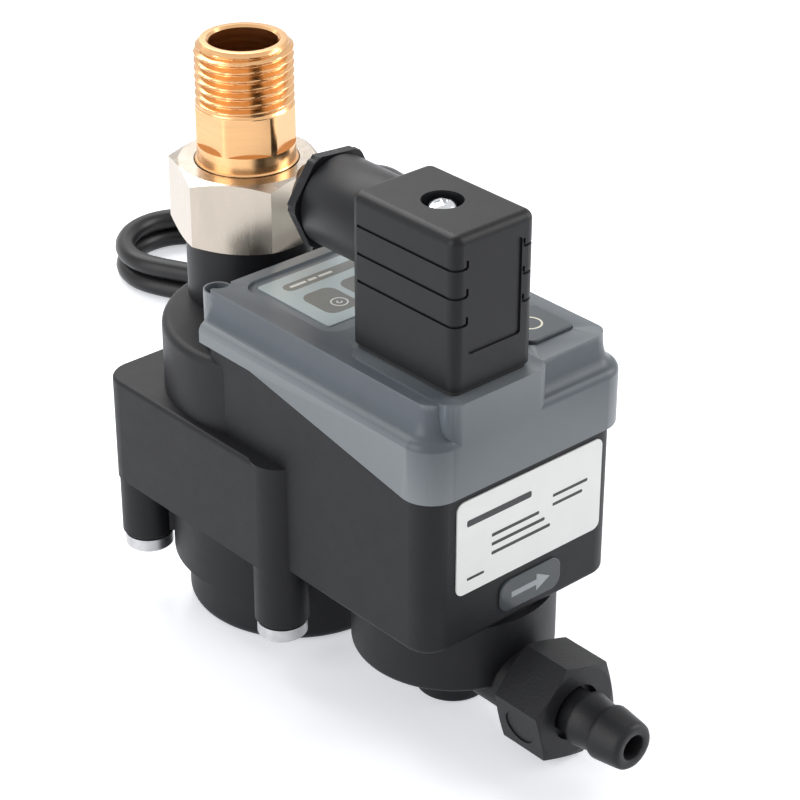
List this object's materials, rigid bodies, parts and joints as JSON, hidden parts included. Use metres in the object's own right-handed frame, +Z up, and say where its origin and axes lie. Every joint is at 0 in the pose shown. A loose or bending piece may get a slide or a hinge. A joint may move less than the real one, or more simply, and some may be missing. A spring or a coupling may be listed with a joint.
{
  "type": "automatic condensate drain valve",
  "caption": "Electronic condensate drain: black reservoir and diaphragm valve, grey electronics cover, square plug connector with cable, brass threaded inlet union and barbed hose outlet.",
  "frame": {"origin": "middle of the footprint on the plane that the bowl and the valve foot stand on, measured without the cable", "axes": "+Z up along the inlet; the hose nozzle and the data plate face -Y; +X is to the right as seen from the data plate"},
  "size_m": [0.1658, 0.2692, 0.1274],
  "materials": {
    "housing_nylon": "fine-grained matt",
    "outlet_nylon": "satin moulded",
    "cover_plastic": "fine-grained satin",
    "connector_plastic": "satin moulded",
    "button_plastic": "satin moulded",
    "brass": "turned and bright",
    "nickel": "satin nickel plate",
    "zinc_steel": "bright zinc plate",
    "seal_rubber": "matt moulded",
    "stainless": "turned",
    "coil_resin": "moulded resin",
    "label_film": "matt film",
    "plate_film": "satin film",
    "pad_gloss": "polished",
    "clear_plastic": "clear moulded",
    "board_green": "solder-masked",
    "switch_plastic": "moulded",
    "cable_jacket": "smooth extruded"
  },
  "bodies": {
    "drain": {"main_housing": "housing_nylon", "lower_housing": "housing_nylon", "housing_gasket": "seal_rubber", "housing_screws": "zinc_steel", "inlet_gasket": "seal_rubber", "inlet_nipple": "brass", "outlet_gasket": "seal_rubber", "outlet_nozzle": "outlet_nylon", "diaphragm": "seal_rubber", "valve_spring": "stainless", "core_tube": "stainless", "plunger_spring": "stainless", "solenoid_coil": "coil_resin", "solenoid_yoke": "stainless", "coil_nut": "stainless", "cover": "cover_plastic", "cover_gasket": "seal_rubber", "cover_screws": "zinc_steel", "membrane_label": "label_film", "light_pipes": "clear_plastic", "tact_switch": "switch_plastic", "data_plate": "plate_film", "outlet_pad": "pad_gloss", "circuit_board": "board_green", "board_screws": "zinc_steel", "level_sensor": "stainless", "sensor_seal": "seal_rubber", "connector_base": "switch_plastic", "connector_pins": "zinc_steel", "connector_gasket": "seal_rubber", "connector_housing": "connector_plastic", "connector_screw": "zinc_steel", "terminal_insert": "switch_plastic", "terminal_screws": "zinc_steel", "gland_nut": "connector_plastic", "gland_washer": "stainless", "gland_seal": "seal_rubber", "cable_stub": "cable_jacket", "cable_lead": "cable_jacket", "cable_coil": "cable_jacket", "cable_cores": "cable_jacket"},
    "button": {"test_button": "button_plastic"},
    "solenoid_plunger": {"plunger": "stainless"},
    "valve_disc": {"diaphragm_disc": "stainless"},
    "inlet_union_nut": {"inlet_nut": "nickel"},
    "outlet_union_nut": {"outlet_nut": "outlet_nylon"}
  },
  "joints": [
    {"name": "button_press", "type": "slide", "parent": "drain", "child": "button", "axis": [0, 0, -1], "range_m": [0, 0.0007], "stiffness_N_per_m": 600, "springref_m": -0.001},
    {"name": "plunger_lift", "type": "slide", "parent": "drain", "child": "solenoid_plunger", "axis": [0, 0, 1], "range_m": [0, 0.0015], "stiffness_N_per_m": 400, "springref_m": -0.004, "deforming": ["plunger_spring"]},
    {"name": "valve_lift", "type": "slide", "parent": "drain", "child": "valve_disc", "axis": [0, 0, 1], "range_m": [0, 0.0016], "stiffness_N_per_m": 300, "springref_m": -0.004, "deforming": ["valve_spring", "diaphragm"]},
    {"name": "inlet_nut_turn", "type": "hinge", "parent": "drain", "child": "inlet_union_nut", "pos_m": [0, 0.05142, 0.0925], "axis": [0, 0, 1], "continuous": true},
    {"name": "outlet_nut_turn", "type": "hinge", "parent": "drain", "child": "outlet_union_nut", "pos_m": [0, -0.04518, 0.0122], "axis": [0, -1, 0], "continuous": true}
  ]
}
